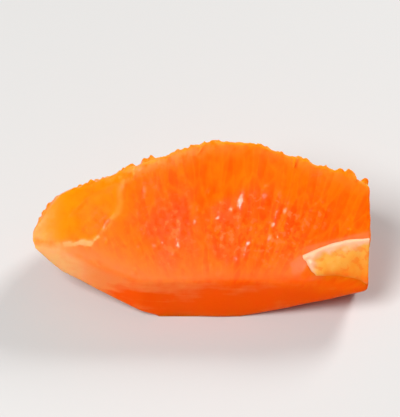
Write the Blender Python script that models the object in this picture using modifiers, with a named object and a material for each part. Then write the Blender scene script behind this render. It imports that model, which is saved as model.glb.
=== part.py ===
"""A peeled orange segment, trimmed free with a knife, lying on one of its two flat sides.

Metres, +Z up. +X runs along the segment, +Y points from the fruit's core to the peeled outer face.
The form is worked out about the fruit's core, a line along X at Y = 0 and Z = 0, and is moved at the end
so that the middle of its base is the origin.
"""

import math

import bmesh
import bpy
import numpy as np
from mathutils import Matrix, Vector
from mathutils.kdtree import KDTree

NAME = "orange_segment"
MM = 0.001

# The fruit and the wedge that the segment is.
FRUIT_RADIUS = 37.6 * MM  # from the core to the peeled face, at the segment's thickest
FRUIT_HALF_LENGTH = 43.0 * MM  # from the middle of the fruit to its pole
FRUIT_MIDDLE_X = 2.5 * MM
WEDGE = math.radians(42.0)  # between the two flat sides
CORE_TRIM = 11.0 * MM  # from the core to the knife cut along the inner edge
LEFT_END_X = -28.4 * MM
RIGHT_END_X = 28.0 * MM

# The left tip: the inner cut turns outwards, and the underside rises.
TIP_TURN_X = -10.0 * MM
TIP_TURN = math.radians(17.5)
TIP_RISE_X = -7.0 * MM
TIP_RISE = math.radians(22.0)
TIP_CURL_X = -23.0 * MM
TIP_CURL = math.radians(46.0)

# The stroke that takes off the lower inner corner at the right end.
HEEL_START_X = 6.0 * MM
HEEL_HEIGHT = 7.2 * MM
HEEL_DEPTH = 7.0 * MM

# The juice sacs.
SAC_WIDTH = 2.0 * MM
SAC_STRETCH = 5.0  # how many times longer than wide a sac is, towards the core
SAC_JITTER = 0.42
SAC_SEED = 11
OUTER_RELIEF = 0.55 * MM  # how far the sacs stand out on the peeled face
SIDE_RELIEF = 0.14 * MM
TIP_RELIEF = 0.75 * MM  # how far the longest sacs stick out at the rim
TIP_DEPTH = 3.0 * MM  # how deep below the peeled face the sacs still lean out

# The mesh.
VOXEL = 0.93 * MM
SOFTENING_ROUNDS = 2
SETTLING = 0.35  # how much of the finest unevenness a last smoothing takes off the sacs
BASE_SNAP = 0.30 * MM
BASE_CLEARANCE = 0.05 * MM

FLESH_COLOUR = (1.0, 0.22, 0.012, 1.0)
FLESH_ROUGHNESS = 0.25


def side_point(x, from_core):
    """A point on the upper flat side, at a distance from the core along that side."""
    return Vector((x, from_core * math.cos(WEDGE), from_core * math.sin(WEDGE)))


def outward(angle, lean):
    """A knife stroke's direction: angle round the core, lean towards +X."""
    flat = math.cos(lean)
    return Vector((math.sin(lean), flat * math.cos(angle), flat * math.sin(angle)))


def plane_through(a, b, c, inside):
    """The plane through three points, as a point and a normal that points away from inside."""
    normal = (b - a).cross(c - a).normalized()
    if normal.dot(inside - a) > 0:
        normal.negate()
    return a, normal


def wedge_cuts():
    """The two flat sides, the inner cut and the two ends."""
    slant = CORE_TRIM / math.cos(WEDGE)
    tip_turn_point = side_point(TIP_TURN_X, slant)
    return [
        (Vector((0, 0, 0)), Vector((0, 0, -1))),
        (Vector((0, 0, 0)), Vector((0, -math.sin(WEDGE), math.cos(WEDGE)))),
        (Vector((0, CORE_TRIM, 0)), Vector((0, -1, 0))),
        (tip_turn_point, Vector((-math.sin(TIP_TURN), -math.cos(TIP_TURN), 0))),
        (Vector((TIP_RISE_X, 0, 0)), Vector((-math.sin(TIP_RISE), 0, -math.cos(TIP_RISE)))),
        (
            Vector((TIP_CURL_X, 0, (TIP_RISE_X - TIP_CURL_X) * math.tan(TIP_RISE))),
            Vector((-math.sin(TIP_CURL), 0, -math.cos(TIP_CURL))),
        ),
        (Vector((LEFT_END_X, 0, 0)), Vector((-1, 0, 0))),
        (Vector((RIGHT_END_X, 0, 0)), Vector((1, 0.05, -0.06)).normalized()),
    ]


def knife_facets():
    """The flats that the knife left on the peeled face, at the left shoulder and at the right inner corner."""
    inside = Vector((0, 22 * MM, 9 * MM))
    peel_strokes = [
        (side_point(9.0 * MM, 37.3 * MM), outward(math.radians(31), math.radians(18))),
        (side_point(1.0 * MM, 37.4 * MM), outward(math.radians(33), math.radians(-17))),
        (Vector((9.0 * MM, 36.9 * MM, 6 * MM)), outward(math.radians(9), math.radians(12))),
        (Vector((-3.0 * MM, 36.6 * MM, 5 * MM)), outward(math.radians(7), math.radians(-15))),
    ]
    shoulder = plane_through(
        side_point(-24.0 * MM, 19.5 * MM),
        side_point(-11.5 * MM, 32.6 * MM),
        Vector((-23.4, 24.5, 16.6)) * MM,
        inside,
    )
    left_end = (Vector((-23.4, 24.5, 16.6)) * MM, Vector((-0.816, 0.442, 0.371)).normalized())
    inner_corner = plane_through(
        side_point(17.0 * MM, CORE_TRIM / math.cos(WEDGE)),
        side_point(28.0 * MM, 21.1 * MM),
        Vector((RIGHT_END_X, CORE_TRIM, HEEL_HEIGHT)),
        inside,
    )
    heel = plane_through(
        Vector((HEEL_START_X, CORE_TRIM, 0)),
        Vector((RIGHT_END_X, CORE_TRIM, HEEL_HEIGHT)),
        Vector((RIGHT_END_X, CORE_TRIM + HEEL_DEPTH, 0)),
        inside,
    )
    return [*peel_strokes, shoulder, left_end, inner_corner, heel]


def cut_fruit():
    """The peeled fruit, cut down to the segment by flat strokes of the knife."""
    bm = bmesh.new()
    bmesh.ops.create_icosphere(bm, subdivisions=5, radius=1.0)
    size = Matrix.Diagonal((FRUIT_HALF_LENGTH, FRUIT_RADIUS, FRUIT_RADIUS, 1.0))
    bmesh.ops.transform(bm, matrix=Matrix.Translation((FRUIT_MIDDLE_X, 0, 0)) @ size, verts=bm.verts)
    for point, normal in [*wedge_cuts(), *knife_facets()]:
        cut = bmesh.ops.bisect_plane(
            bm,
            geom=[*bm.verts, *bm.edges, *bm.faces],
            dist=1e-7,
            plane_co=point,
            plane_no=normal,
            clear_outer=True,
        )
        rim = [e for e in cut["geom_cut"] if isinstance(e, bmesh.types.BMEdge) and e.is_boundary]
        if rim:
            bmesh.ops.edgeloop_fill(bm, edges=rim)
    bmesh.ops.recalc_face_normals(bm, faces=bm.faces)
    return bm


def even_mesh(bm, voxel):
    """The same form as an even mesh, by a voxel remesh that is applied."""
    rough_mesh = bpy.data.meshes.new("rough")
    bm.to_mesh(rough_mesh)
    bm.free()
    rough = bpy.data.objects.new("rough", rough_mesh)
    bpy.context.scene.collection.objects.link(rough)
    remesh = rough.modifiers.new("even", "REMESH")
    remesh.mode = "VOXEL"
    remesh.voxel_size = voxel
    depsgraph = bpy.context.evaluated_depsgraph_get()
    mesh = bpy.data.meshes.new_from_object(rough.evaluated_get(depsgraph))
    bpy.data.objects.remove(rough)
    bpy.data.meshes.remove(rough_mesh)
    return mesh


def towards_peel(points):
    """Each point's distance from the core and its direction, which fans out a little towards the poles."""
    anchor = np.zeros_like(points)
    anchor[:, 0] = FRUIT_MIDDLE_X + 0.45 * (points[:, 0] - FRUIT_MIDDLE_X)
    ray = points - anchor
    distance = np.linalg.norm(ray, axis=1)
    return distance, ray / distance[:, None], anchor


def squeezed(points):
    """Points in the space where every sac is as long as it is wide."""
    distance, direction, anchor = towards_peel(points)
    reach = FRUIT_RADIUS - (FRUIT_RADIUS - distance) / SAC_STRETCH
    return anchor + direction * reach[:, None]


def sac_seeds():
    """One point for the middle of each sac, on a shaken grid in the squeezed space."""
    rng = np.random.default_rng(SAC_SEED)
    reach = FRUIT_RADIUS + 2 * SAC_WIDTH
    along = np.arange(LEFT_END_X - 3 * SAC_WIDTH, RIGHT_END_X + 3 * SAC_WIDTH, SAC_WIDTH)
    across = np.arange(-2 * SAC_WIDTH, reach, SAC_WIDTH)
    grid = np.stack(np.meshgrid(along, across, across, indexing="ij"), axis=-1).reshape(-1, 3)
    grid += rng.uniform(-SAC_JITTER, SAC_JITTER, grid.shape) * SAC_WIDTH
    lean = rng.uniform(0.0, 1.0, len(grid))
    return grid, lean


def sac_relief(points, normals):
    """How far each point moves so that the sacs stand out from the cut faces."""
    seeds, lean = sac_seeds()
    tree = KDTree(len(seeds))
    for index, seed in enumerate(seeds):
        tree.insert(seed, index)
    tree.balance()
    near = [tree.find_n(point, 2) for point in squeezed(points)]
    nearest = np.array([found[0][1] for found in near])
    gap = np.array([found[1][2] - found[0][2] for found in near])
    dome = 1.0 - (1.0 - np.clip(gap / (0.55 * SAC_WIDTH), 0.0, 1.0)) ** 2
    distance, direction, _ = towards_peel(points)
    facing_peel = np.clip(np.sum(normals * direction, axis=1) * 1.4 - 0.2, 0.0, 1.0)
    surface = np.sqrt(np.clip(1 - ((points[:, 0] - FRUIT_MIDDLE_X) / FRUIT_HALF_LENGTH) ** 2, 0, 1))
    depth = FRUIT_RADIUS * surface - np.hypot(points[:, 1], points[:, 2])
    at_rim = np.clip(1.0 - depth / TIP_DEPTH, 0.0, 1.0)
    swell = (SIDE_RELIEF + (OUTER_RELIEF - SIDE_RELIEF) * facing_peel) * (dome - 0.6)
    tip = TIP_RELIEF * at_rim * dome * (lean[nearest] - 0.35)
    return normals * swell[:, None] + direction * tip[:, None]


def soften(bm, verts, factor):
    bmesh.ops.smooth_vert(bm, verts=verts, factor=factor, use_axis_x=True, use_axis_y=True, use_axis_z=True)


def carve_sacs(mesh):
    """Soften the knife's edges, raise the sacs, keep the base flat and make it one face."""
    bm = bmesh.new()
    bm.from_mesh(mesh)
    for vertex in bm.verts:
        if vertex.co.z < BASE_SNAP:
            vertex.co.z = 0.0
    above = [v for v in bm.verts if v.co.z > 0.0]
    for _ in range(SOFTENING_ROUNDS):
        soften(bm, above, 0.5)
    bm.normal_update()
    points = np.array([v.co for v in above])
    moves = sac_relief(points, np.array([v.normal for v in above]))
    for vertex, move in zip(above, moves):
        vertex.co += Vector(move)
    soften(bm, above, SETTLING)
    for vertex in above:
        vertex.co.z = max(vertex.co.z, BASE_CLEARANCE)
    base = {f for f in bm.faces if all(v.co.z == 0.0 for v in f.verts)}
    within = {e for f in base for e in f.edges if base.issuperset(e.link_faces)}
    ends = {v for e in within for v in e.verts}
    bmesh.ops.dissolve_limit(bm, angle_limit=math.radians(0.5), verts=list(ends), edges=list(within))
    bm.to_mesh(mesh)
    bm.free()


def centre_on_base(mesh):
    """Move the mesh so that the origin is the middle of its box, at the bottom."""
    corners = np.array([v.co for v in mesh.vertices])
    low, high = corners.min(axis=0), corners.max(axis=0)
    middle = (low + high) / 2
    mesh.transform(Matrix.Translation((-middle[0], -middle[1], -low[2])))


def flesh_material():
    material = bpy.data.materials.new("orange_flesh")
    material.use_nodes = True
    shader = material.node_tree.nodes["Principled BSDF"]
    shader.inputs["Base Color"].default_value = FLESH_COLOUR
    shader.inputs["Roughness"].default_value = FLESH_ROUGHNESS
    shader.inputs["Metallic"].default_value = 0.0
    return material


def orange_segment():
    mesh = even_mesh(cut_fruit(), VOXEL)
    carve_sacs(mesh)
    centre_on_base(mesh)
    mesh.name = NAME
    mesh.materials.append(flesh_material())
    mesh.shade_smooth()
    segment = bpy.data.objects.new(NAME, mesh)
    collection = bpy.data.collections.new("orange segment")
    bpy.context.scene.collection.children.link(collection)
    collection.objects.link(segment)
    return segment


def main():
    for thing in list(bpy.data.objects):
        bpy.data.objects.remove(thing)
    orange_segment()


main()
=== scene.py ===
import math

import bmesh
import bpy
import numpy as np
from bpy.props import FloatProperty, FloatVectorProperty, IntProperty, PointerProperty
from mathutils import Matrix, Vector, noise
from mathutils.bvhtree import BVHTree
from mathutils.kdtree import KDTree


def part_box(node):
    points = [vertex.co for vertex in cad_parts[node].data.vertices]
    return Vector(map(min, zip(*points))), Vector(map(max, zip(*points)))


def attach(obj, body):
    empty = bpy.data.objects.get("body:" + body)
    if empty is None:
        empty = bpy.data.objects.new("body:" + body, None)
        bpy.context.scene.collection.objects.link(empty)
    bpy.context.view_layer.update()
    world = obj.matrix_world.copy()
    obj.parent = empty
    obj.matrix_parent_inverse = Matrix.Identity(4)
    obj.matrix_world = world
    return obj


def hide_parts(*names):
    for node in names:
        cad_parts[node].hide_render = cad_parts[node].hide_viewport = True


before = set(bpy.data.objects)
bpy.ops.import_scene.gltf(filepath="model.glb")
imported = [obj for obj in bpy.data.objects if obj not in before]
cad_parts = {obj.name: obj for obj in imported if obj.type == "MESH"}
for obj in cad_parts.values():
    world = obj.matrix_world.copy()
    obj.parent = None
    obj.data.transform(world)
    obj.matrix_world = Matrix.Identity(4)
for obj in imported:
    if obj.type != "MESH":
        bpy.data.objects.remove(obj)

bl_info = {
    "name": "Orange segment",
    "version": (1, 0, 0),
    "blender": (4, 5, 0),
    "location": "3D View > Sidebar > Orange",
    "description": "Dresses a peeled orange segment: the flesh with its juice sacs, and a rag of pith",
    "category": "Object",
}

NODE = "orange_segment"
BODY = "root"
MM = 0.001
CAD_LOW, CAD_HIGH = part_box(NODE)
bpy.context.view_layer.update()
PICTURE_WIDTH, PICTURE_HEIGHT = 400, 417

# A point well inside the segment, in the fruit's own coordinates.
INSIDE = Vector((0, 22 * MM, 9 * MM))
# The sacs point away from a stretch of the core that is this much as long as the segment.
FAN = 0.45


# Settings ------------------------------------------------------------------------------------------------


def length(name, description, millimetres):
    return FloatProperty(
        name=name, description=description, default=millimetres * MM, unit="LENGTH", precision=5
    )


def angle(name, description, degrees):
    return FloatProperty(name=name, description=description, default=math.radians(degrees), subtype="ANGLE")


def share(name, description, value):
    return FloatProperty(name=name, description=description, default=value, min=0.0)


def count(name, description, number):
    return IntProperty(name=name, description=description, default=number, min=0)


def power(name, description, watts):
    return FloatProperty(name=name, description=description, default=watts, min=0.0, unit="POWER")


def colour(name, description, rgb):
    return FloatVectorProperty(
        name=name, description=description, default=(*rgb, 1.0), size=4, subtype="COLOR", min=0.0, max=1.0
    )


class SegmentForm(bpy.types.PropertyGroup):
    """The segment's form, worked out about the fruit's core, a line along X at Y = 0 and Z = 0."""

    fruit_radius: length("Fruit radius", "From the core to the peeled face", 37.6)
    fruit_half_length: length("Fruit half length", "From the middle of the fruit to its pole", 43.0)
    fruit_middle_x: length("Fruit middle", "Where the fruit is thickest", 2.5)
    wedge: angle("Wedge", "Angle between the two flat sides", 42.0)
    core_trim: length("Core trim", "From the core to the cut along the inner edge", 11.0)
    left_end_x: length("Left end", "Where the thin tip ends", -28.4)
    right_end_x: length("Right end", "Where the blunt cut is", 28.0)
    tip_turn_x: length("Tip turn start", "Where the inner cut turns outwards", -10.0)
    tip_turn: angle("Tip turn", "How far the inner cut turns outwards", 17.5)
    tip_rise_x: length("Tip rise start", "Where the underside starts to rise", -7.0)
    tip_rise: angle("Tip rise", "How steeply the underside rises", 22.0)
    tip_curl_x: length("Tip curl start", "Where the underside rises faster", -23.0)
    tip_curl: angle("Tip curl", "How steeply the tip's end rises", 46.0)
    heel_start_x: length("Heel start", "Where the lower inner corner is taken off", 6.0)
    heel_height: length("Heel height", "How high that cut reaches at the right end", 7.2)
    heel_depth: length("Heel depth", "How deep that cut reaches at the right end", 7.0)


class SacSettings(bpy.types.PropertyGroup):
    """The juice sacs and the mesh that shows them."""

    width: length("Sac width", "Width of a juice sac at the peeled face", 1.45)
    stretch: share("Stretch", "How many times longer than wide a sac is", 4.5)
    opened: share("Opened", "Share of the sacs on cut faces that the knife opened", 0.45)
    waviness: share("Waviness", "How far the skins between sacs wander, in sac widths", 0.45)
    jitter: share("Jitter", "How unevenly the sacs are packed", 0.42)
    seed: count("Seed", "Seed of every random draw", 11)
    outer_relief: length("Outer relief", "How far the sacs stand out on the peeled face", 0.55)
    side_relief: length("Side relief", "How far they stand out on the flat sides", 0.07)
    torn_relief: length("Torn relief", "How far they stand out where the knife tore them", 0.26)
    tip_relief: length("Tip relief", "How far the longest sacs stick out at the rim", 1.0)
    tip_depth: length("Tip depth", "How deep below the peeled face the sacs lean out", 3.0)
    crumbs: length("Crumbs", "Fine unevenness where the knife tore the sacs", 0.10)
    swell: length("Swell", "Slow unevenness of the flat sides", 0.35)
    scoop: share("Scoop", "How steeply the smooth hollow by the tip goes in", 0.32)
    voxel: length("Mesh size", "Edge of the fine mesh", 0.255)
    softening: count("Softening", "Smoothing rounds for the cut edges", 30)
    rim_sacs: count("Sacs at the rim", "Torn sacs tried along the two rims", 100)
    face_sacs: count("Sacs on the face", "Torn sacs tried on the peeled face", 45)
    lying_sacs: count("Lying sacs", "Torn sacs tried on the upper side, where they lie down", 170)


class RagSettings(bpy.types.PropertyGroup):
    """The rag of pith at the right end."""

    thickness: length("Rag thickness", "From its face to its underside, sunk in the flesh", 0.9)
    lip: length("Lip", "How far its upper and left edges stand up", 0.38)
    lip_width: share("Lip width", "Share of the rag's height that the upper lip takes", 0.24)
    frayed: share("Frayed", "How unevenly wide the lips are", 0.5)


class FleshColours(bpy.types.PropertyGroup):
    """Colours of the flesh and the pith."""

    flesh: colour("Flesh", "Sac bodies", (1.0, 0.17, 0.001))
    deep: colour("Deep flesh", "The darkest sac bodies", (0.96, 0.085, 0.0005))
    thin: colour("Thin flesh", "Where light shines through, at the rim and the tip", (1.0, 0.25, 0.001))
    wall: colour("Sac walls", "The skins between sacs", (1.0, 0.24, 0.004))
    blush: colour("Blush", "The pinker flesh in the middle of the side", (1.0, 0.1, 0.022))
    # Partly a painted soft shadow of the rag beside its left tip, and partly pinker skin.
    pink_skin_and_shadow: colour("Pale blush", "The pinker skin round the rag of pith", (1.0, 0.24, 0.11))
    # Partly painted light: along the ridge it also stands for the sheen on the rounded edge.
    skin: colour("Skin", "Thin membrane left along the inner edge", (1.0, 0.21, 0.045))
    seam: colour("Seam", "The pale line round the smooth hollow", (1.0, 0.35, 0.035))
    pale: colour("Pale flesh", "The palest flesh, at the tip and along the rim", (1.0, 0.42, 0.15))
    pith: colour("Pith", "The pale rag at the right end", (1.0, 0.50, 0.30))
    pith_inner: colour("Pith, inside", "Where flesh shows through the rag", (1.0, 0.41, 0.055))


class StageSettings(bpy.types.PropertyGroup):
    """The floor, the lights and the camera."""

    elevation: angle("Camera elevation", "Angle of the view above the floor", 50.0)
    lens: FloatProperty(name="Lens", description="Focal length", default=180.0, unit="CAMERA")
    fill: share("Fill", "Share of the picture's width that the segment fills", 0.84)
    floor: colour("Floor", "The pale floor", (0.56, 0.552, 0.542))
    key_power: power("Key light", "Power of the softbox", 4.0)
    back_power: power("Back light", "Power of the light from behind", 2.6)
    sky: share("Sky", "Strength of the even light from all round", 0.2)


# Form ----------------------------------------------------------------------------------------------------


def to_frame(form):
    """From the fruit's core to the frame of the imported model."""
    return Matrix.Translation((CAD_HIGH.x - form.right_end_x, CAD_LOW.y - form.core_trim, 0.0))


def side_point(form, x, from_core):
    """A point on the upper flat side, at a distance from the core along that side."""
    return Vector((x, from_core * math.cos(form.wedge), from_core * math.sin(form.wedge)))


def outward(round_core, lean):
    """A direction away from the core: angle round it in degrees, lean towards +X in degrees."""
    round_core, lean = math.radians(round_core), math.radians(lean)
    flat = math.cos(lean)
    return Vector((math.sin(lean), flat * math.cos(round_core), flat * math.sin(round_core)))


def plane_through(a, b, c):
    """The plane through three points, as a point and a normal that points away from the inside."""
    normal = (b - a).cross(c - a).normalized()
    if normal.dot(INSIDE - a) > 0:
        normal.negate()
    return a, normal


def knife_cuts(form):
    """Every flat stroke of the knife, as planes by the kind of face that they leave."""
    turn, rise, curl = form.tip_turn, form.tip_rise, form.tip_curl
    curl_z = (form.tip_rise_x - form.tip_curl_x) * math.tan(rise)
    right, trim, heel = form.right_end_x, form.core_trim, form.heel_height
    shoulder_tip = Vector((-23.4, 24.5, 16.6)) * MM
    return {
        "lower_side": [(Vector((0, 0, 0)), Vector((0, 0, -1)))],
        "upper_side": [(Vector((0, 0, 0)), Vector((0, -math.sin(form.wedge), math.cos(form.wedge))))],
        "inner": [
            (Vector((0, trim, 0)), Vector((0, -1, 0))),
            (Vector((form.tip_turn_x, trim, 0)), Vector((-math.sin(turn), -math.cos(turn), 0))),
            plane_through(
                Vector((form.heel_start_x, trim, 0)),
                Vector((right, trim, heel)),
                Vector((right, trim + form.heel_depth, 0)),
            ),
        ],
        "underside": [
            (Vector((form.tip_rise_x, 0, 0)), Vector((-math.sin(rise), 0, -math.cos(rise)))),
            (Vector((form.tip_curl_x, 0, curl_z)), Vector((-math.sin(curl), 0, -math.cos(curl)))),
        ],
        "ends": [
            (Vector((form.left_end_x, 0, 0)), Vector((-1, 0, 0))),
            (Vector((right, 0, 0)), Vector((1, 0.05, -0.06)).normalized()),
        ],
        # Two strokes along the upper rim, two along the lower one, and one at the tip.
        "peel": [
            (side_point(form, 9.0 * MM, 37.3 * MM), outward(31, 18)),
            (side_point(form, 1.0 * MM, 37.4 * MM), outward(33, -17)),
            (Vector((9.0, 36.9, 6.0)) * MM, outward(9, 12)),
            (Vector((-3.0, 36.6, 5.0)) * MM, outward(7, -15)),
            (shoulder_tip, Vector((-0.816, 0.442, 0.371)).normalized()),
        ],
        "shoulder": [
            plane_through(
                side_point(form, -24.0 * MM, 19.5 * MM), side_point(form, -11.5 * MM, 32.6 * MM), shoulder_tip
            )
        ],
        "corner": [
            plane_through(
                side_point(form, 17.0 * MM, trim / math.cos(form.wedge)),
                side_point(form, 28.0 * MM, 21.1 * MM),
                Vector((right, trim, heel)),
            )
        ],
    }


def cut_fruit(form):
    """The peeled fruit, cut down to the segment by flat strokes of the knife."""
    bm = bmesh.new()
    bmesh.ops.create_icosphere(bm, subdivisions=5, radius=1.0)
    size = Matrix.Diagonal((form.fruit_half_length, form.fruit_radius, form.fruit_radius, 1.0))
    place = Matrix.Translation((form.fruit_middle_x, 0, 0))
    bmesh.ops.transform(bm, matrix=place @ size, verts=bm.verts)
    for point, normal in sum(knife_cuts(form).values(), []):
        everything = [*bm.verts, *bm.edges, *bm.faces]
        cut = bmesh.ops.bisect_plane(
            bm, geom=everything, dist=1e-7, plane_co=point, plane_no=normal, clear_outer=True
        )
        rim = [e for e in cut["geom_cut"] if isinstance(e, bmesh.types.BMEdge) and e.is_boundary]
        if rim:
            bmesh.ops.edgeloop_fill(bm, edges=rim)
    bmesh.ops.recalc_face_normals(bm, faces=bm.faces)
    return bm


def even_mesh(bm, voxel):
    """The same form as an even mesh, by a voxel remesh that is applied."""
    rough_mesh = bpy.data.meshes.new("rough")
    bm.to_mesh(rough_mesh)
    bm.free()
    rough = bpy.data.objects.new("rough", rough_mesh)
    bpy.context.scene.collection.objects.link(rough)
    remesh = rough.modifiers.new("even", "REMESH")
    remesh.mode = "VOXEL"
    remesh.voxel_size = voxel
    depsgraph = bpy.context.evaluated_depsgraph_get()
    mesh = bpy.data.meshes.new_from_object(rough.evaluated_get(depsgraph))
    bpy.data.objects.remove(rough)
    bpy.data.meshes.remove(rough_mesh)
    return mesh


def sort_faces(bm):
    """Lists the faces by their corners, because an extrude lists its side walls differently on each run."""
    bm.verts.index_update()
    total = len(bm.verts)

    def number(face):
        value = 0
        for index in sorted(corner.index for corner in face.verts):
            value = value * total + index
        return value

    bm.faces.sort(key=number)


# Juice sacs ----------------------------------------------------------------------------------------------


def soft_step(low, high, values):
    """0 up to low, 1 from high, smooth between. Low may be the larger, and then it falls."""
    t = np.clip((values - low) / (high - low), 0.0, 1.0)
    return t * t * (3.0 - 2.0 * t)


def patches(points, size, seed, octaves=2):
    """Slow noise from -1 to 1 at each point, with patches of the given size."""
    shift = Vector((seed * 3.7, seed * 1.3, seed * 5.1))
    return np.array([noise.fractal(Vector(p) / size + shift, 1.0, 2.0, octaves) for p in points])


def towards_peel(form, points):
    """How far each point is along its sac, the way that the sac points, and where on the core it starts."""
    anchor = np.zeros_like(points)
    anchor[:, 0] = form.fruit_middle_x + FAN * (points[:, 0] - form.fruit_middle_x)
    ray = points - anchor
    distance = np.linalg.norm(ray, axis=1)
    return distance, ray / distance[:, None], anchor


def squeezed(form, sacs, points):
    """Points in the space where every sac is as long as it is wide, and a little wavy."""
    distance, direction, anchor = towards_peel(form, points)
    reach = form.fruit_radius - (form.fruit_radius - distance) / sacs.stretch
    straight = anchor + direction * reach[:, None]
    wave_length = 2.2 * sacs.width
    waves = np.array([noise.noise_vector(Vector(p) / wave_length) for p in straight])
    return straight + waves * sacs.waviness * sacs.width


class SacField:
    """Which juice sac each point is in, and how far it is from the skin between two sacs."""

    def __init__(self, form, sacs):
        rng = np.random.default_rng(sacs.seed)
        # noise_vector starts from the clock unless it is given a seed.
        noise.seed_set(sacs.seed)
        width = sacs.width
        along = np.arange(form.left_end_x - 3 * width, form.right_end_x + 3 * width, width)
        across = np.arange(-2 * width, form.fruit_radius + 2 * width, width)
        grid = np.stack(np.meshgrid(along, across, across, indexing="ij"), axis=-1).reshape(-1, 3)
        grid += rng.uniform(-sacs.jitter, sacs.jitter, grid.shape) * width
        self.form, self.sacs = form, sacs
        self.lean = rng.uniform(0.0, 1.0, len(grid))
        self.tone = rng.uniform(0.0, 1.0, len(grid))
        self.tree = KDTree(len(grid))
        for index, seed in enumerate(grid):
            self.tree.insert(seed, index)
        self.tree.balance()

    def at(self, points):
        """Each point's sac, and its gap to the next in sac widths: 0 at the skin, about 1 in the middle."""
        near = [self.tree.find_n(p, 2) for p in squeezed(self.form, self.sacs, points)]
        nearest = np.array([found[0][1] for found in near])
        gap = np.array([found[1][2] - found[0][2] for found in near]) / self.sacs.width
        return nearest, gap


def plane_depth(planes, points):
    """How far each point is inside the nearest of some cuts."""
    return np.min([(np.array(point) - points) @ np.array(normal) for point, normal in planes], axis=0)


def face_depths(form, points):
    """How far each point is below each kind of face that the knife left."""
    depths = {kind: plane_depth(planes, points) for kind, planes in knife_cuts(form).items()}
    along = (points[:, 0] - form.fruit_middle_x) / form.fruit_half_length
    round_radius = form.fruit_radius * np.sqrt(np.clip(1 - along**2, 0, 1))
    round_depth = round_radius - np.hypot(points[:, 1], points[:, 2])
    depths["peel"] = np.minimum(depths["peel"], round_depth)
    return depths


def hollow_inset(form, points):
    """How far each point is inside the outline of the smooth hollow by the tip, square to the upper side."""
    corner_x, corner_from_core, roundness = -17.6 * MM, 20.9 * MM, 1.2 * MM
    lean = math.radians(26)
    from_core = points[:, 1] * math.cos(form.wedge) + points[:, 2] * math.sin(form.wedge)
    above = from_core - corner_from_core
    left = (corner_x - points[:, 0]) * math.cos(lean) + above * math.sin(lean)
    # The border bulges to the right, a little above the corner.
    left += 1.3 * MM * np.exp(-(((above - 5 * MM) / (3.5 * MM)) ** 2))
    # It reaches only this deep below the upper side.
    near_side = 6.0 * MM - plane_depth(knife_cuts(form)["upper_side"], points)
    wander = 0.7 * MM * patches(points, 3.2 * MM, 7)
    round_corner = -roundness * np.log(np.exp(-above / roundness) + np.exp(-left / roundness))
    return np.minimum(round_corner + wander, near_side)


def torn_share(points):
    """1 where the knife tore the sacs, mostly in a band along the middle of the upper side, else 0."""
    across = (np.hypot(points[:, 1], points[:, 2]) - 22.5 * MM) / (6.5 * MM)
    along = (points[:, 0] - 5.0 * MM) / (17.0 * MM)
    band = np.exp(-(across**2) - along**4)
    return soft_step(0.1, 0.75, 0.75 * band + 0.5 * patches(points, 6 * MM, 2))


def on_face(depths, kind, blur):
    """1 on faces of one kind, 0 on all others, with a soft change at their edges."""
    others = np.min([np.abs(depth) for name, depth in depths.items() if name != kind], axis=0)
    return soft_step(-blur, blur, others - np.abs(depths[kind]))


def store(mesh, name, values):
    """Keeps a number or a vector at each point of a mesh, for its material to read."""
    values = np.asarray(values, np.float32)
    if values.ndim == 1:
        mesh.attributes.new(name, "FLOAT", "POINT").data.foreach_set("value", values)
    else:
        mesh.attributes.new(name, "FLOAT_VECTOR", "POINT").data.foreach_set("vector", values.ravel())


def smooth(bm, verts, rounds):
    """Evens out some points of a bmesh, a number of times."""
    for _ in range(rounds):
        bmesh.ops.smooth_vert(bm, verts=verts, factor=0.5, use_axis_x=True, use_axis_y=True, use_axis_z=True)


def snap_base(bm, voxel):
    """Lays the lowest points flat on the floor and gives back all the others."""
    for vertex in bm.verts:
        if vertex.co.z < 0.3 * voxel:
            vertex.co.z = 0.0
    return [v for v in bm.verts if v.co.z > 0.0]


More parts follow.
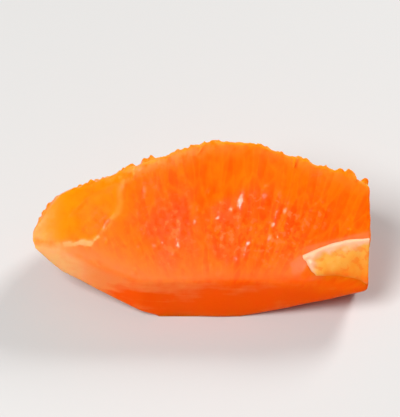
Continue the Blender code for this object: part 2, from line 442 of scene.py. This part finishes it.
def raise_sacs(above, form, sacs, field):
    """Moves the surface so that the sacs show as relief, flat on the sides and round on the peel."""
    points = np.array([v.co for v in above])
    normals = np.array([v.normal for v in above])
    nearest, gap = field.at(points)
    lean = field.lean[nearest]
    depths = face_depths(form, points)
    peel = on_face(depths, "peel", 0.5 * MM)
    torn = torn_share(points)
    inset = hollow_inset(form, points)
    hollow = soft_step(-0.2 * MM, 1.2 * MM, inset) * (1 - peel)
    scooped = np.clip(sacs.scoop * inset - np.clip(depths["upper_side"], 0.0, 1.0), 0.0, 1.0) * hollow
    smooth_cut = np.maximum(on_face(depths, "inner", 0.5 * MM), hollow)
    upper_rim = np.exp(-np.minimum(np.abs(depths["upper_side"]), np.abs(depths["shoulder"])) / (1.8 * MM))
    at_rim = np.clip(1.0 - depths["peel"] / sacs.tip_depth, 0.0, 1.0)

    # A closed sac is a dome at its own level, and one that the knife opened is a dish between its skins.
    ends = on_face(depths, "ends", 0.5 * MM)
    dome = 1.0 - (1.0 - np.clip(gap / 0.75, 0.0, 1.0)) ** 2
    own_level = (lean - 0.5) * soft_step(0.0, 0.25, gap)
    opened = (field.tone[nearest] < sacs.opened) * np.maximum(peel, ends)
    closed_height = dome - 0.6 * (1 - peel) + (0.6 - 0.2 * peel) * own_level - 0.25 * peel
    opened_height = 0.05 - 0.6 * soft_step(0.08, 0.45, gap)
    height = closed_height + (opened_height - closed_height) * opened

    # How much of that shows, and what comes on top of it.
    rough = np.maximum(torn, ends)
    side = (sacs.side_relief + (sacs.torn_relief - sacs.side_relief) * rough) * (1 - 0.8 * smooth_cut)
    slow = sacs.swell * patches(points, 11 * MM, 5) * (1 - peel)
    outer = sacs.outer_relief * (1 - 0.6 * upper_rim)
    crumbs = sacs.crumbs * torn * patches(points, 0.9 * MM, 21)
    rise = (side + (outer - side) * peel) * height + crumbs + slow - scooped

    # The longest sacs lean out at the rims, and less round the hollow.
    uneven = 0.35 + 0.9 * soft_step(-0.3, 0.4, patches(points, 5 * MM, 9))
    by_shoulder = soft_step(2 * MM, 0.5 * MM, np.abs(depths["shoulder"]))
    by_hollow = by_shoulder * soft_step(-10 * MM, -16 * MM, points[:, 0])
    to_rims = np.min([np.abs(depths[kind]) for kind in ("upper_side", "lower_side", "shoulder")], axis=0)
    on_rims = 0.3 + 0.7 * np.exp(-to_rims / (2.0 * MM))
    calm = 1 - 0.7 * np.maximum(hollow, by_hollow)
    tip = sacs.tip_relief * uneven * at_rim * on_rims * calm * dome * (1.5 * lean**2 - 0.3)
    _, direction, _ = towards_peel(form, points)
    for vertex, move in zip(above, normals * rise[:, None] + direction * tip[:, None]):
        vertex.co += Vector(move)
        vertex.co.z = max(vertex.co.z, 0.05 * MM)


def teardrop(bm, foot, axis, long, wide, flatten, spin):
    """One torn sac: a round tip at the top and a narrow foot, standing at foot along axis."""
    made = bmesh.ops.create_uvsphere(bm, u_segments=8, v_segments=7, radius=0.5)
    for vertex in made["verts"]:
        up = vertex.co.z + 0.5
        narrow = 0.4 + 0.6 * math.sin(math.pi * min(1.0, 0.1 + 0.8 * up))
        across = Vector((vertex.co.x, vertex.co.y * flatten)) * narrow * wide
        vertex.co = Vector((across.x, across.y, up * long))
    turn = axis.to_track_quat("Z", "Y").to_matrix().to_4x4()
    place = Matrix.Translation(foot) @ turn @ Matrix.Rotation(spin, 4, "Z")
    bmesh.ops.transform(bm, matrix=place, verts=made["verts"])


def torn_sacs(form, sacs, surface):
    """Torn sacs that stand out of the rims and the peeled face, and others that lie on the upper side."""
    rng = np.random.default_rng(sacs.seed + 1)
    places = [(rng.choice((0.015, 0.965)) + rng.uniform(-0.01, 0.02), True) for _ in range(sacs.rim_sacs)]
    places += [(rng.uniform(0.06, 0.94), False) for _ in range(sacs.face_sacs)]
    bm = bmesh.new()
    for share_up, at_rim in places:
        x = rng.uniform(form.left_end_x + 4 * MM, form.right_end_x - 1.5 * MM)
        off_middle = x - form.fruit_middle_x
        ray = outward(math.degrees(form.wedge) * share_up, 0.8 * off_middle / MM)
        start = Vector((form.fruit_middle_x + FAN * off_middle, 0, 0)) + ray * 2 * form.fruit_radius
        hit = surface.ray_cast(start, -ray)[0]
        shake = Vector(rng.uniform(-0.7, 0.7, 3))
        size = 0.4 + 0.75 * rng.uniform(0.0, 1.0) ** 1.8
        flatten, spin = rng.uniform(0.35, 0.75), rng.uniform(0, math.tau)
        if hit is None or hit.z < 1.2 * MM:
            continue
        if face_depths(form, np.array([hit]))["peel"][0] > 1.5 * MM:
            continue
        long = size * 3.0 * MM
        wide = size * (1.25 if at_rim else 1.7) * MM
        axis = (ray + shake).normalized()
        buried = 0.76 if at_rim else 0.87
        teardrop(bm, hit - axis * long * buried, axis, long, wide, flatten, spin)

    up_side = Vector((0, -math.sin(form.wedge), math.cos(form.wedge)))
    from_core = Vector((0, math.cos(form.wedge), math.sin(form.wedge)))
    for _ in range(sacs.lying_sacs):
        start = side_point(form, rng.normal(4.0, 13.0) * MM, rng.normal(21.0, 4.2) * MM) + up_side * 10 * MM
        slant = rng.normal(45.0, 30.0)
        size = 0.4 + 0.6 * rng.uniform(0.0, 1.0) ** 2.5
        flatten, spin = rng.uniform(0.6, 1.0), rng.uniform(0, math.tau)
        hit, normal, _, _ = surface.ray_cast(start, -up_side)
        if hit is None or normal.dot(up_side) < 0.8:
            continue
        if hollow_inset(form, np.array([hit]))[0] > -1.0 * MM:
            continue
        along = Matrix.Rotation(math.radians(slant), 3, up_side) @ from_core
        long, wide = size * 2.0 * MM, size * 1.0 * MM
        teardrop(bm, hit - along * long / 2 - normal * 0.15 * wide, along, long, wide, flatten, spin)
    return bm


def add_to(bm, other):
    """Puts the shapes of one bmesh into another."""
    mesh = bpy.data.meshes.new("added")
    other.to_mesh(mesh)
    other.free()
    bm.from_mesh(mesh)
    bpy.data.meshes.remove(mesh)


def flesh_mesh(form, sacs):
    """The segment's flesh: softened cuts, raised sacs, and what the material needs to know at each point."""
    field = SacField(form, sacs)
    bm = bmesh.new()
    bm.from_mesh(even_mesh(cut_fruit(form), sacs.voxel))
    above = snap_base(bm, sacs.voxel)
    smooth(bm, above, sacs.softening)
    inset = hollow_inset(form, np.array([v.co for v in above]))
    smooth(bm, [v for v, inside in zip(above, inset) if inside > -1.0 * MM], 3 * sacs.softening)
    bm.normal_update()
    raise_sacs(above, form, sacs, field)
    add_to(bm, torn_sacs(form, sacs, BVHTree.FromBMesh(bm)))
    mesh = even_mesh(bm, sacs.voxel)
    bm = bmesh.new()
    bm.from_mesh(mesh)
    snap_base(bm, sacs.voxel)
    bm.to_mesh(mesh)
    points = np.array([v.co for v in bm.verts])
    bm.free()
    store_looks(mesh, points, form, sacs, field)
    return mesh


def store_looks(mesh, points, form, sacs, field):
    """What the flesh's material reads at each point."""
    nearest, gap = field.at(points)
    depths = face_depths(form, points)
    upper = on_face(depths, "upper_side", 0.4 * MM)
    inner = on_face(depths, "inner", 1.7 * MM)
    inset = hollow_inset(form, points)
    to_rim = np.abs(depths["peel"]) + np.minimum(np.abs(depths["upper_side"]), np.abs(depths["lower_side"]))
    store(mesh, "sac_gap", gap)
    store(mesh, "sac_tone", field.tone[nearest])
    store(mesh, "sac_space", squeezed(form, sacs, points))
    peel = on_face(depths, "peel", 0.4 * MM)
    store(mesh, "peel_facing", peel)
    store(mesh, "opened", field.tone[nearest] < sacs.opened)
    store(mesh, "near_rim", np.exp(-to_rim / (2.2 * MM)))
    store(mesh, "inner_cut", inner)
    store(mesh, "end_cut", on_face(depths, "ends", 0.5 * MM))
    store(mesh, "hollow", soft_step(-0.2 * MM, 0.7 * MM, inset) * (1 - 0.8 * peel) * (1 - inner))
    seam = np.exp(-(((inset + 0.1 * MM) / (0.45 * MM)) ** 2)) * (1 - inner) * (1 - peel)
    from_core = np.hypot(points[:, 1], points[:, 2])
    store(mesh, "seam", seam * (0.35 + 0.65 * soft_step(27 * MM, 21 * MM, from_core)))
    store(mesh, "near_ridge", np.exp(-np.abs(depths["inner"]) / (2.6 * MM)) * upper)
    store(mesh, "torn", torn_share(points) * (1 - inner))
    from_ridge = from_core - form.core_trim / math.cos(form.wedge)
    beside = np.hypot((points[:, 0] - 16.2 * MM) / 1.5, (from_ridge - 2.4 * MM) / 1.9) / MM
    past_pith = from_ridge - 4.9 * MM - 0.24 * (points[:, 0] - 16.7 * MM)
    fringe = soft_step(1.2 * MM, 0.3 * MM, past_pith) * soft_step(15 * MM, 18 * MM, points[:, 0])
    by_pith = np.maximum(soft_step(1.5, 0.5, beside + 0.3 * patches(points, 1.5 * MM, 4)), 0.7 * fringe)
    corner = on_face(depths, "corner", 0.4 * MM)
    store(mesh, "by_pith", by_pith * np.maximum(upper, 0.15 * corner))


# Materials -----------------------------------------------------------------------------------------------


def feed(node, values):
    """Sets a node's sockets, by a value or by a link."""
    for name, value in values.items():
        if isinstance(value, Wire):
            value.tree.links.new(value.socket, node.inputs[name])
        else:
            node.inputs[name].default_value = value


class Wire:
    """A socket of a material's nodes, or the tree itself. Sums written with it add Math nodes."""

    def __init__(self, tree, socket=None):
        self.tree = tree
        self.socket = socket

    def new(self, kind, settings=None, sockets=None, out=0):
        """Any node: its type, its settings, the values or links of its sockets, and the output wanted."""
        node = self.tree.nodes.new(kind)
        for name, value in (settings or {}).items():
            setattr(node, name, value)
        feed(node, sockets or {})
        return Wire(self.tree, node.outputs[out])

    def output(self, name):
        """Another output of the node that this one comes from."""
        return Wire(self.tree, self.socket.node.outputs[name])

    def _sum(self, operation, a, b):
        return self.new("ShaderNodeMath", {"operation": operation}, {0: a, 1: b})

    def __add__(self, other):
        return self._sum("ADD", self, other)

    __radd__ = __add__

    def __sub__(self, other):
        return self._sum("SUBTRACT", self, other)

    def __rsub__(self, other):
        return self._sum("SUBTRACT", other, self)

    def __mul__(self, other):
        return self._sum("MULTIPLY", self, other)

    __rmul__ = __mul__

    def attribute(self, name, out="Fac"):
        return self.new("ShaderNodeAttribute", {"attribute_name": name}, out=out)

    def noise(self, place, scale, detail=2.0, distortion=0.0):
        return self.new(
            "ShaderNodeTexNoise",
            sockets={"Vector": place, "Scale": scale, "Detail": detail, "Distortion": distortion},
            out="Fac",
        )

    def between(self, low, high):
        """0 below low, 1 above high, smooth between."""
        return self.new(
            "ShaderNodeMapRange", {"interpolation_type": "SMOOTHSTEP"}, {"Value": self, 1: low, 2: high}
        )

    def blend(self, a, b):
        """Colour a where this is 0, colour b where it is 1."""
        return self.new("ShaderNodeMix", {"data_type": "RGBA"}, {0: self, 6: a, 7: b}, out=2)


def new_material(name):
    """A material with an empty Principled shader, and the tree to build its look in."""
    material = bpy.data.materials.new(name)
    material.use_nodes = True
    tree = material.node_tree
    return material, tree.nodes["Principled BSDF"], Wire(tree)


def flesh_material(colours):
    """Wet flesh: tinted sac bodies with paler skins between them, yellower where it is thin."""
    material, shader, wire = new_material("orange_flesh")
    # Where it is: on which kind of face, near which edge, and how far towards the tip.
    place = wire.new("ShaderNodeTexCoord", out="Object")
    x = wire.new("ShaderNodeSeparateXYZ", sockets={"Vector": place}, out="X")
    z = x.output("Z")
    peel = wire.attribute("peel_facing")
    off_peel = 1 - peel
    inner = wire.attribute("inner_cut")
    end = wire.attribute("end_cut")
    torn = wire.attribute("torn")
    hollow = wire.attribute("hollow")
    rim = wire.attribute("near_rim")
    ridge = wire.attribute("near_ridge")
    by_pith = wire.attribute("by_pith")
    left = 1 - x.between(-24 * MM, 10 * MM)
    tip = 1 - x.between(-26 * MM, 0.0)
    tip_end = 1 - x.between(-29 * MM, -12 * MM)
    far_tip = 1 - x.between(-28.5 * MM, -21.5 * MM)

    # Unevenness of several sizes, also along the sacs and along the segment.
    broad = wire.noise(place, 130.0, 3.0)
    mottle = wire.noise(place, 650.0, 3.0)
    fine = wire.noise(place, 900.0, 3.0)
    grit = wire.noise(place, 1000.0, 1.5)
    streak = wire.noise(wire.attribute("sac_space", out="Vector"), 1200.0, 4.0)
    drawn_out = wire.new("ShaderNodeMapping", sockets={"Vector": place, "Scale": (0.2, 1.0, 1.0)})
    drawn = wire.noise(drawn_out, 600.0, 3.0)

    # The sacs' bodies, yellower in the rims, the tip and the hollow.
    own = (wire.attribute("sac_tone") - 0.5) * 0.75
    uneven = (streak - 0.5) * 1.2 + (broad - 0.5) * 0.8 + (mottle - 0.5) * 1.1
    body = (0.6 + own + uneven).blend(colours.deep[:], colours.flesh[:])
    thin = rim * (0.6 + 0.4 * tip + 0.4 * peel) + tip * 0.35
    body = (thin * (0.5 + broad)).blend(body, colours.thin[:])
    yellow = 0.45 + 0.5 * (1 - x.between(-26 * MM, -12 * MM)) + (broad - 0.5) * 1.3 + (mottle - 0.5) * 1.1
    body = (hollow * yellow).blend(body, colours.thin[:])
    body = (0.3 * peel * (0.3 + broad)).blend(body, colours.thin[:])

    # The skins between sacs, the pinker flesh that the knife tore, and its light and dark crumbs.
    gap = wire.attribute("sac_gap")
    wall = 1 - gap.between(0.02, 0.2)
    brim = (1 - gap.between(0.05, 0.25)) * peel
    body = (wall * (0.3 + 0.2 * torn + 0.3 * end)).blend(body, colours.wall[:])
    pinker = wire.noise(place, 120.0, 2.0).between(0.27, 0.55)
    blush = pinker * torn * (1 - 0.8 * x.between(3 * MM, 11 * MM))
    body = (blush * off_peel * (0.45 + 0.6 * mottle)).blend(body, colours.blush[:])
    body = (brim * (0.1 + 0.8 * mottle)).blend(body, colours.wall[:])
    flecks = grit.between(0.56, 0.66) * torn * off_peel
    specks = (1 - grit.between(0.36, 0.44)) * torn * off_peel
    body = (0.75 * flecks).blend(body, colours.skin[:])
    body = (0.75 * specks).blend(body, colours.deep[:])

    # The membrane along the ridge and round the rag of pith. Along the rounded ridge this colour is partly a
    # painted sheen.
    skin = ridge * (0.2 + 0.9 * broad) + by_pith * (0.1 + 0.9 * broad)
    body = skin.between(0.0, 1.0).blend(body, colours.skin[:])
    body = (ridge * left * (1 - hollow) * 0.35).blend(body, colours.pale[:])
    # Painted soft shadow of the rag, with pinker skin, in the patch beside its left tip.
    body = (by_pith.between(0.35, 0.9) * (0.8 * mottle)).blend(body, colours.pink_skin_and_shadow[:])

    # The pale line round the hollow, and the palest places of the rim.
    seam = wire.attribute("seam") * (0.2 + 1.2 * mottle.between(0.4, 0.6))
    body = seam.blend(body, colours.seam[:])
    body = (seam * ridge * 2.5).between(0.0, 1.0).blend(body, colours.pale[:])
    pale_patches = mottle.between(0.3, 0.6) * (1 - 0.6 * peel)
    pale_rim = rim.between(0.18, 0.75) * (0.08 + 0.65 * left) * pale_patches
    body = pale_rim.blend(body, colours.pale[:])

    # The cut along the inner edge: pale at its upper edge and at the tip, drawn out along the segment. Its
    # deeper colour, lighter at the upper edge and darker at the foot and the right end, is painted shade.
    lit_upper_edge = z.between(5 * MM, 9 * MM) * (0.3 + 0.6 * (1 - x.between(-12 * MM, 12 * MM)))
    to_tip = 1.3 * (1 - x.between(-21 * MM, -9 * MM))
    to_right = 0.35 * x.between(8 * MM, 22 * MM)
    strip = lit_upper_edge + to_tip - to_right + (drawn - 0.5) * 2.2 + (mottle - 0.5) * 0.7 - 0.1
    body = inner.blend(body, strip.blend(colours.deep[:], colours.skin[:]))
    at_tip = tip_end * (0.05 + 0.85 * inner) + 0.5 * far_tip * hollow
    tip_pale = (0.4 + 0.6 * drawn + 1.2 * mottle) * at_tip
    body = tip_pale.between(0.0, 1.0).blend(body, colours.pale[:])

    # Grain, and a wet coat that glints where sacs are torn or open.
    grain = fine * (0.25 + 0.45 * torn * off_peel)
    normal = wire.new("ShaderNodeBump", sockets={"Strength": 0.8, "Distance": 0.2 * MM, "Height": grain})
    wet = wire.noise(place, 260.0, 2.0).between(0.35, 0.55)
    glint = wire.noise(place, 700.0, 1.0).between(0.45, 0.6)
    dry = (1 - 0.9 * inner) * (1 - 0.9 * hollow)
    closed_brim = brim * (1 - wire.attribute("opened"))
    cut_coat = (peel + end * 0.6) * (0.05 + (0.5 + 0.45 * brim) * glint) * (1 - 0.85 * closed_brim)
    feed(
        shader,
        {
            "Base Color": body,
            "Roughness": 0.3 + 0.2 * fine,
            "Normal": normal,
            "IOR": 1.38,
            "Specular IOR Level": 0.03,
            "Subsurface Weight": 1.0,
            "Subsurface Radius": (1.0, 0.22, 0.06),
            "Subsurface Scale": 2 * MM,
            "Coat Weight": (0.02 + 0.85 * glint * wet * torn + cut_coat) * dry,
            "Coat Roughness": 0.06,
            "Coat IOR": 1.42,
        },
    )
    return material


def pith_material(colours):
    """The pale rag at the right end: soft and fibrous, with flesh showing through where it is thin."""
    material, shader, wire = new_material("pale_pith")
    place = wire.new("ShaderNodeTexCoord", out="Object")
    lip = wire.attribute("lip")
    thick = wire.attribute("thickness")
    mottle = wire.noise(place, 420.0, 4.0)
    soaked = wire.noise(place, 900.0, 2.0).between(0.54, 0.64)
    body = (1.2 * thick + (mottle - 0.5)).between(-0.1, 0.8).blend(colours.thin[:], colours.pith_inner[:])
    body = (0.7 * soaked * (1 - 0.6 * thick)).blend(body, colours.flesh[:])
    faded_in = (wire.attribute("up") + (mottle - 0.5) * 0.4).between(0.0, 0.24)
    body = (1 - faded_in).blend(body, colours.flesh[:])
    body = (lip + 0.5 * thick * mottle.between(0.45, 0.7)).between(0.1, 0.9).blend(body, colours.pith[:])
    bump = wire.new("ShaderNodeBump", sockets={"Strength": 0.4, "Distance": 0.3 * MM, "Height": mottle})
    feed(
        shader,
        {
            "Base Color": body,
            "Roughness": 0.3 + 0.25 * mottle,
            "Normal": bump,
            "Specular IOR Level": 0.3,
            "Subsurface Weight": 0.8,
            "Subsurface Radius": (1.0, 0.45, 0.2),
            "Subsurface Scale": 0.7 * MM,
            "Coat Weight": 0.35 * mottle.between(0.4, 0.6),
            "Coat Roughness": 0.1,
        },
    )
    return material


def floor_material(stage):
    """Matt and pale, very slightly uneven in its shine."""
    material, shader, wire = new_material("pale_floor")
    place = wire.new("ShaderNodeTexCoord", out="Object")
    feed(shader, {"Base Color": stage.floor[:], "Roughness": 0.55 + 0.1 * wire.noise(place, 8.0)})
    return material


# Placing -------------------------------------------------------------------------------------------------


def add_piece(name, mesh, material, form):
    """A finished piece: its mesh moved into the frame, its material, and the body that it rides on."""
    mesh.transform(to_frame(form))
    mesh.name = name
    mesh.materials.clear()
    mesh.materials.append(material)
    mesh.shade_smooth()
    piece = bpy.data.objects.new(name, mesh)
    bpy.context.scene.collection.objects.link(piece)
    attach(piece, BODY)
    return piece


def flesh_surface(form):
    """The flesh as a surface that rays can hit, in the fruit's own coordinates."""
    bm = bmesh.new()
    bm.from_mesh(bpy.data.objects["flesh"].data)
    bmesh.ops.transform(bm, matrix=to_frame(form).inverted(), verts=bm.verts)
    tree = BVHTree.FromBMesh(bm)
    bm.free()
    return tree


# Operators -----------------------------------------------------------------------------------------------


class ORANGE_OT_flesh(bpy.types.Operator):
    """Cut the segment from a peeled fruit and raise its juice sacs"""

    bl_idname = "orange.flesh"
    bl_label = "Flesh"

    def execute(self, context):
        scene = context.scene
        form = scene.segment_form
        mesh = flesh_mesh(form, scene.segment_sacs)
        piece = add_piece("flesh", mesh, flesh_material(scene.segment_colours), form)
        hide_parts(NODE)
        return {"FINISHED"}


class ORANGE_OT_pith(bpy.types.Operator):
    """Lay the pale rag of pith over the inner corner at the right end"""

    bl_idname = "orange.pith"
    bl_label = "Pith"

    def execute(self, context):
        scene = context.scene
        form, rag = scene.segment_form, scene.segment_rag
        surface = flesh_surface(form)
        into = Vector((0, math.sin(form.wedge), -math.cos(form.wedge)))
        bm = bmesh.new()
        bmesh.ops.create_grid(bm, x_segments=48, y_segments=30, size=1.0)
        lips = bm.verts.layers.float.new("lip")
        thicknesses = bm.verts.layers.float.new("thickness")
        ups = bm.verts.layers.float.new("up")
        for vertex in bm.verts:
            along, up = (vertex.co.x + 1) / 2, (vertex.co.y + 1) / 2
            spot = self.outline(form, along, up)
            frayed = 1 + rag.frayed * noise.noise(Vector((along * 7, up * 7, 8.0)))
            top_lip = math.exp(-(((1 - up) / ((rag.lip_width - 0.1 * along) * frayed)) ** 2))
            left_lip = math.exp(-((along / (0.13 * frayed)) ** 2)) * min(1.0, 0.2 + 1.2 * up)
            lip = min(1.0, top_lip + left_lip)
            edge = min(1.0, min(along, up, 1 - up) / 0.06)
            ripple = noise.noise(Vector((along * 9, up * 6, 0.5)))
            body = (0.05 + up * (0.12 + 0.15 * ripple) - 0.45 * (1 - edge) ** 2) * MM
            # By the end cut the flesh falls away, so the rag goes on straight from there.
            inwards = self.outline(form, min(along, 0.88), up)
            hit = surface.ray_cast(inwards - into * 10 * MM, into)[0] or surface.find_nearest(inwards)[0]
            vertex.co = hit + (spot - inwards) - into * (body + rag.lip * lip)
            vertex[lips] = lip
            vertex[thicknesses] = min(1.0, 0.75 * up + 0.35 * (1 - along))
            vertex[ups] = up + 0.5 * max(0.0, 0.3 - along)
        smooth(bm, bm.verts[:], 2)
        grown = bmesh.ops.extrude_face_region(bm, geom=bm.faces[:], use_keep_orig=True)
        sunk = [v for v in grown["geom"] if isinstance(v, bmesh.types.BMVert)]
        bmesh.ops.translate(bm, verts=sunk, vec=into * rag.thickness)
        bmesh.ops.recalc_face_normals(bm, faces=bm.faces)
        sort_faces(bm)
        mesh = bpy.data.meshes.new("pith")
        bm.to_mesh(mesh)
        bm.free()
        add_piece("pith", mesh, pith_material(scene.segment_colours), form)
        return {"FINISHED"}

    def outline(self, form, along, up):
        """A point of the rag on the upper side: along from its tip to the end cut, and up from the ridge."""
        bulge = math.sin(math.pi * along)
        low = Vector((18.6 + 9.05 * along, 0.6 - 1.4 * along + 0.5 * bulge))
        high = Vector((16.7 + 11.05 * along, 4.2 + 2.9 * along + 0.7 * bulge))
        flat = low.lerp(high, up)
        wander = 0.35 * noise.noise(Vector((along * 5, up * 4, 3.0)))
        ridge = form.core_trim / math.cos(form.wedge)
        return side_point(form, (flat.x + wander * (1 - along)) * MM, ridge + (flat.y + 0.6 * wander) * MM)


class ORANGE_OT_stage(bpy.types.Operator):
    """Set the pale floor, the soft lights and the camera"""

    bl_idname = "orange.stage"
    bl_label = "Stage"

    def execute(self, context):
        scene = context.scene
        stage = scene.segment_stage
        scene.view_settings.view_transform = "Standard"
        self.add_floor(scene, stage)
        self.add_light(scene, "key", place=(-0.24, -0.24, 0.50), size=0.26, power=stage.key_power)
        self.add_light(scene, "back", place=(0.32, 0.36, 0.38), size=0.18, power=stage.back_power)
        self.add_sky(scene, stage)
        self.add_camera(scene, stage)
        return {"FINISHED"}

    def add_floor(self, scene, stage):
        bm = bmesh.new()
        bmesh.ops.create_grid(bm, x_segments=8, y_segments=8, size=3.0)
        mesh = bpy.data.meshes.new("floor")
        bm.to_mesh(mesh)
        bm.free()
        mesh.materials.append(floor_material(stage))
        floor = bpy.data.objects.new("floor", mesh)
        scene.collection.objects.link(floor)

    def add_light(self, scene, name, place, size, power):
        data = bpy.data.lights.new(name, "AREA")
        data.shape = "SQUARE"
        data.size = size
        data.energy = power
        light = bpy.data.objects.new(name, data)
        light.location = place
        light.rotation_euler = (-Vector(place)).to_track_quat("-Z", "Y").to_euler()
        scene.collection.objects.link(light)

    def add_sky(self, scene, stage):
        world = bpy.data.worlds.new("sky")
        world.use_nodes = True
        background = world.node_tree.nodes["Background"]
        background.inputs["Color"].default_value = (1.0, 1.0, 1.0, 1.0)
        background.inputs["Strength"].default_value = stage.sky
        scene.world = world

    def add_camera(self, scene, stage):
        data = bpy.data.cameras.new("camera")
        data.lens = stage.lens
        seen_share = data.sensor_width * PICTURE_WIDTH / PICTURE_HEIGHT / data.lens
        distance = (CAD_HIGH.x - CAD_LOW.x) / stage.fill / seen_share
        look = Vector((0, math.cos(stage.elevation), -math.sin(stage.elevation)))
        middle = (CAD_LOW + CAD_HIGH) / 2
        camera = bpy.data.objects.new("camera", data)
        camera.location = middle - look * distance
        camera.rotation_euler = look.to_track_quat("-Z", "Y").to_euler()
        data.clip_start = 0.01
        scene.collection.objects.link(camera)
        scene.camera = camera


class ORANGE_PT_panel(bpy.types.Panel):
    """The steps that dress the segment, in order"""

    bl_idname = "ORANGE_PT_panel"
    bl_label = "Orange segment"
    bl_space_type = "VIEW_3D"
    bl_region_type = "UI"
    bl_category = "Orange"

    def draw(self, context):
        for operator in OPERATORS:
            self.layout.operator(operator.bl_idname)


OPERATORS = (ORANGE_OT_flesh, ORANGE_OT_pith, ORANGE_OT_stage)
SETTINGS = {
    "segment_form": SegmentForm,
    "segment_sacs": SacSettings,
    "segment_rag": RagSettings,
    "segment_colours": FleshColours,
    "segment_stage": StageSettings,
}
CLASSES = (*SETTINGS.values(), *OPERATORS, ORANGE_PT_panel)


def register():
    for made in CLASSES:
        bpy.utils.register_class(made)
    for name, group in SETTINGS.items():
        setattr(bpy.types.Scene, name, PointerProperty(type=group))


def unregister():
    for name in SETTINGS:
        delattr(bpy.types.Scene, name)
    for made in reversed(CLASSES):
        bpy.utils.unregister_class(made)


def main():
    register()
    bpy.ops.orange.flesh()
    bpy.ops.orange.pith()
    bpy.ops.orange.stage()


if __name__ == "__main__":
    main()
